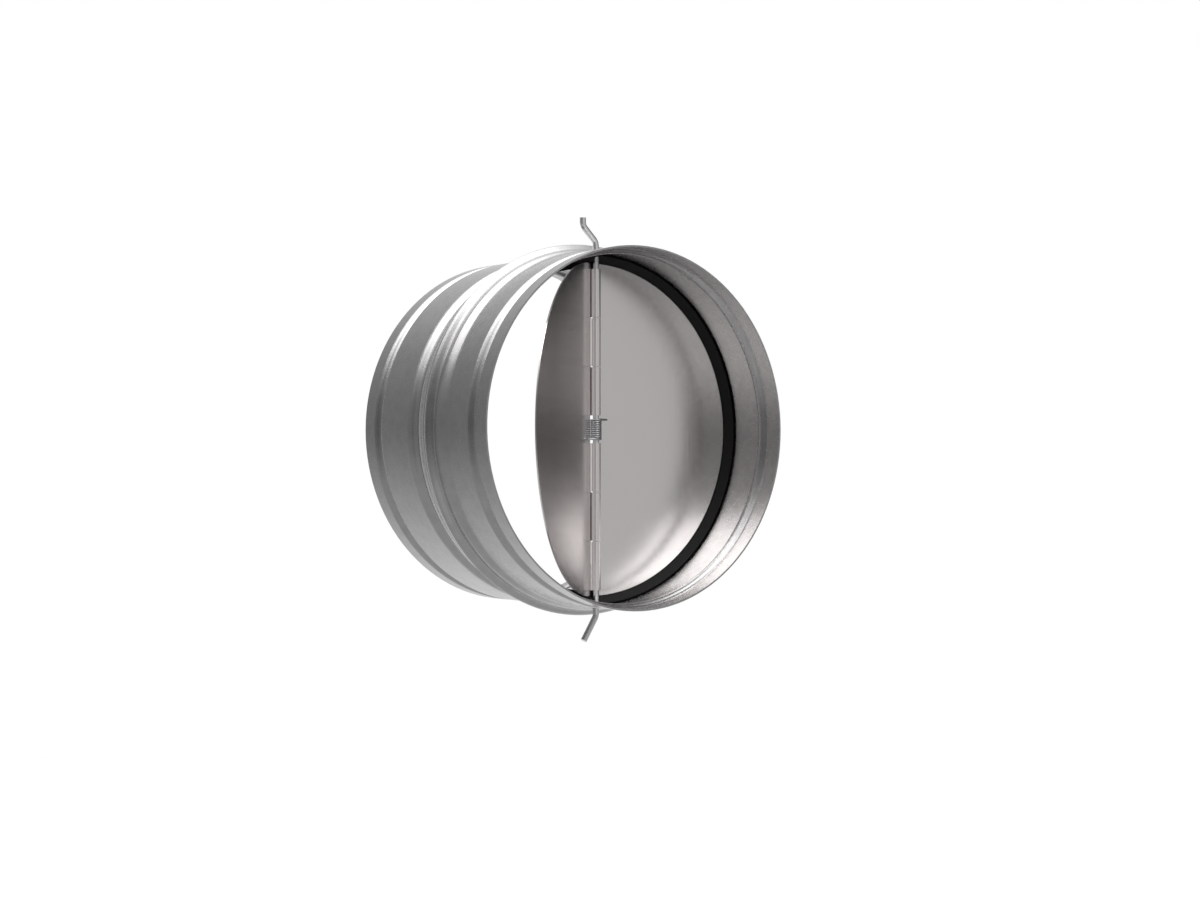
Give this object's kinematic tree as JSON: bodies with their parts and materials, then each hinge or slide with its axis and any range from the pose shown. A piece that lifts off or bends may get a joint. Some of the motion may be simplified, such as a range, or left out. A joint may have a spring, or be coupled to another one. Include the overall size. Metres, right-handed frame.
{
  "type": "duct damper",
  "caption": "Round back-draught duct damper: a galvanised sleeve with rubber seal, half-round flaps on an upright rod and a closing torsion spring.",
  "frame": {"origin": "centre of the inlet rim, on the duct axis", "axes": "+Y along the duct axis out of the inlet, so air leaves towards -Y; +Z along the hinge rod, with the bent-back end up; +X to the closed flap's side"},
  "size_m": [0.1305, 0.0874, 0.1479],
  "materials": {
    "galvanised_steel": "rolled galvanised sheet, satin",
    "seal_rubber": "matt black rubber",
    "rod_wire": "drawn zinc-plated wire",
    "flap_aluminium": "mill-finish sheet, satin",
    "spring_wire": "spring steel wire"
  },
  "bodies": {
    "casing": {"sleeve": "galvanised_steel", "seal": "seal_rubber", "hinge_rod": "rod_wire", "torsion_spring": "spring_wire"},
    "left_leaf": {"left_flap": "flap_aluminium"},
    "right_leaf": {"right_flap": "flap_aluminium"}
  },
  "joints": [
    {"name": "left_hinge", "type": "hinge", "parent": "casing", "child": "left_leaf", "pos_m": [0, -0.0536, 0], "axis": [0, 0, 1], "range_deg": [-37, 48], "stiffness_Nm_per_rad": 0.004, "springref_deg": -57.07, "deforming": ["torsion_spring"]},
    {"name": "right_hinge", "type": "hinge", "parent": "casing", "child": "right_leaf", "pos_m": [0, -0.0536, 0], "axis": [0, 0, -1], "range_deg": [0, 85], "stiffness_Nm_per_rad": 0.004, "springref_deg": -20.05, "deforming": ["torsion_spring"]}
  ]
}
